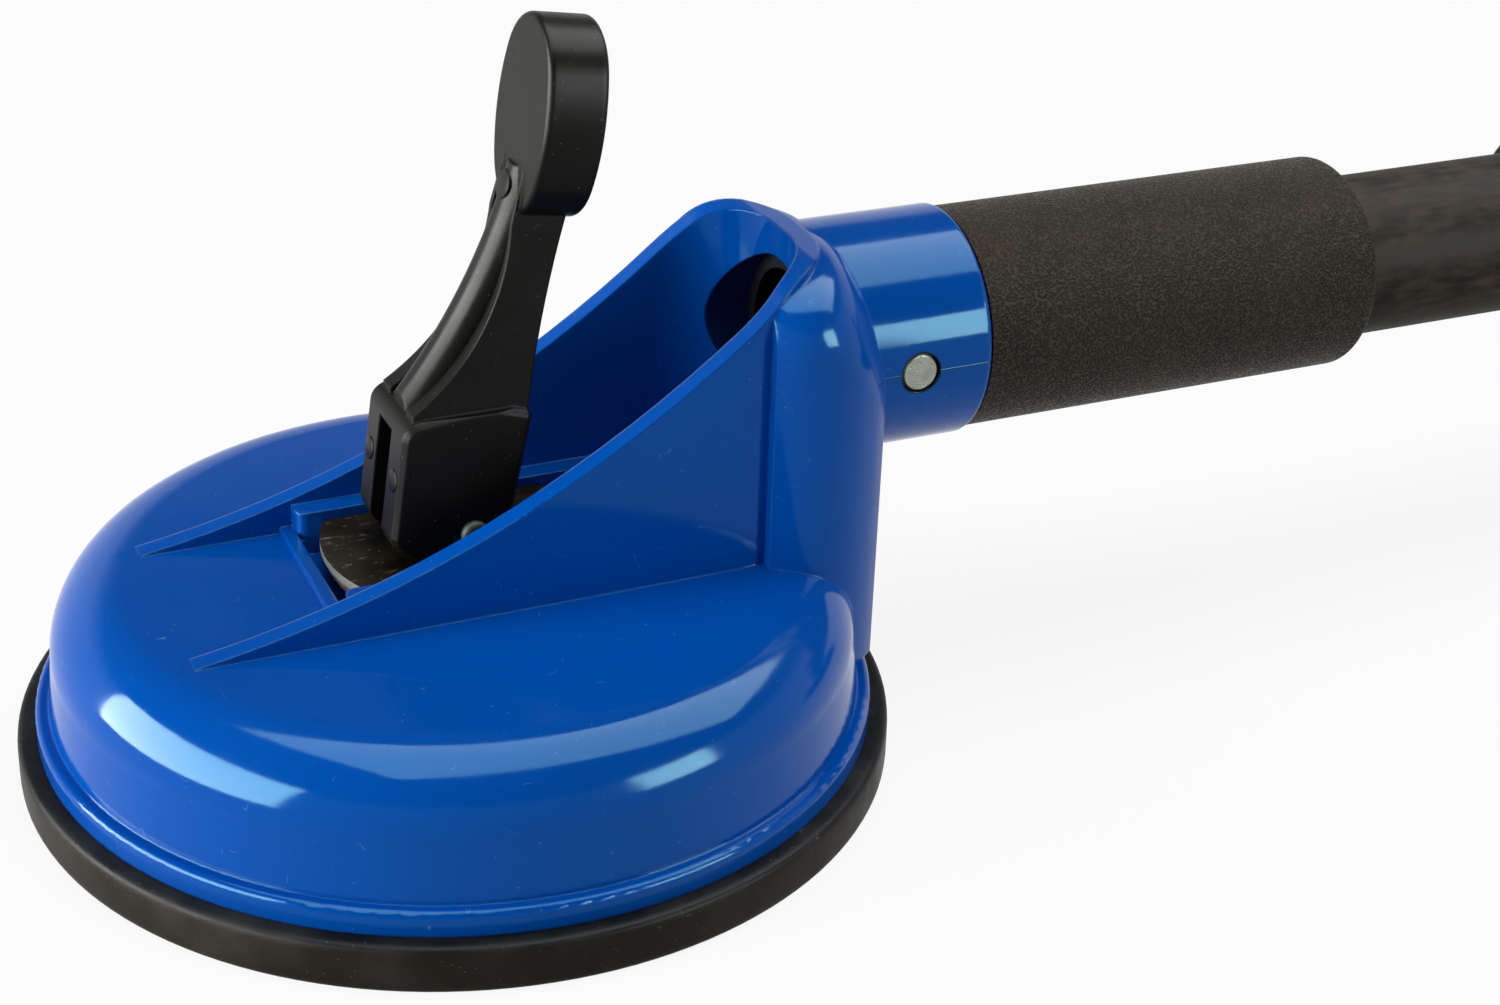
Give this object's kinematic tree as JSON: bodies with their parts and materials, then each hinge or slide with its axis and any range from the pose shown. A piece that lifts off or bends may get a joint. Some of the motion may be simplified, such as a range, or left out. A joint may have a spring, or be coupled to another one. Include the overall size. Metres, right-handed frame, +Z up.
{
  "type": "floor tile suction lifter",
  "caption": "Carrying handle for floor tiles: a round suction head at each end of a straight bar, each drawn to the tile by a cam lever that folds outward.",
  "frame": {"origin": "on the surface that the pads stand on, midway between the two heads", "axes": "+X along the handle from the left head to the right head, +Y away from the user across the handle, +Z up"},
  "size_m": [0.437, 0.12, 0.1019],
  "materials": {
    "blue_abs": "glossy moulded ABS",
    "pad_rubber": "satin black nitrile rubber",
    "lever_nylon": "satin black moulded nylon",
    "grip_plastic": "coarse spark-eroded grain",
    "tube_paint": "black coated tube, scuffed",
    "plate_steel": "dark stamped steel with bright sheared edges",
    "plated_steel": "zinc-plated steel",
    "pin_steel": "zinc-plated steel, cropped ends"
  },
  "bodies": {
    "root": {"handle_tube": "tube_paint", "left_housing": "blue_abs", "left_suction_pad": "pad_rubber", "left_lower_wear_plate": "plate_steel", "left_upper_wear_plate": "plate_steel", "left_socket_pin": "pin_steel", "left_grip_sleeve": "grip_plastic", "right_housing": "blue_abs", "right_suction_pad": "pad_rubber", "right_lower_wear_plate": "plate_steel", "right_upper_wear_plate": "plate_steel", "right_socket_pin": "pin_steel", "right_grip_sleeve": "grip_plastic"},
    "left_stem": {"left_backing_plate": "plated_steel", "left_draw_stem": "plated_steel", "left_lock_nut": "plated_steel", "left_lever_pin": "pin_steel"},
    "left_lever": {"left_lever": "lever_nylon"},
    "right_stem": {"right_backing_plate": "plated_steel", "right_draw_stem": "plated_steel", "right_lock_nut": "plated_steel", "right_lever_pin": "pin_steel"},
    "right_lever": {"right_lever": "lever_nylon"}
  },
  "joints": [
    {"name": "left_stem_draw", "type": "slide", "parent": "root", "child": "left_stem", "axis": [0, 0, 1], "range_m": [0, 0.0089]},
    {"name": "left_lever_throw", "type": "hinge", "parent": "left_stem", "child": "left_lever", "pos_m": [-0.1585, 0, 0.0346], "axis": [0, -1, 0], "range_deg": [0, 92]},
    {"name": "right_stem_draw", "type": "slide", "parent": "root", "child": "right_stem", "axis": [0, 0, 1], "range_m": [0, 0.0089]},
    {"name": "right_lever_throw", "type": "hinge", "parent": "right_stem", "child": "right_lever", "pos_m": [0.1585, 0, 0.0346], "axis": [0, 1, 0], "range_deg": [0, 92]}
  ],
  "couplings": [
    {"joint": "left_stem_draw", "follows": "left_lever_throw", "m_per_rad": 0.0055},
    {"joint": "right_stem_draw", "follows": "right_lever_throw", "m_per_rad": 0.0055}
  ]
}
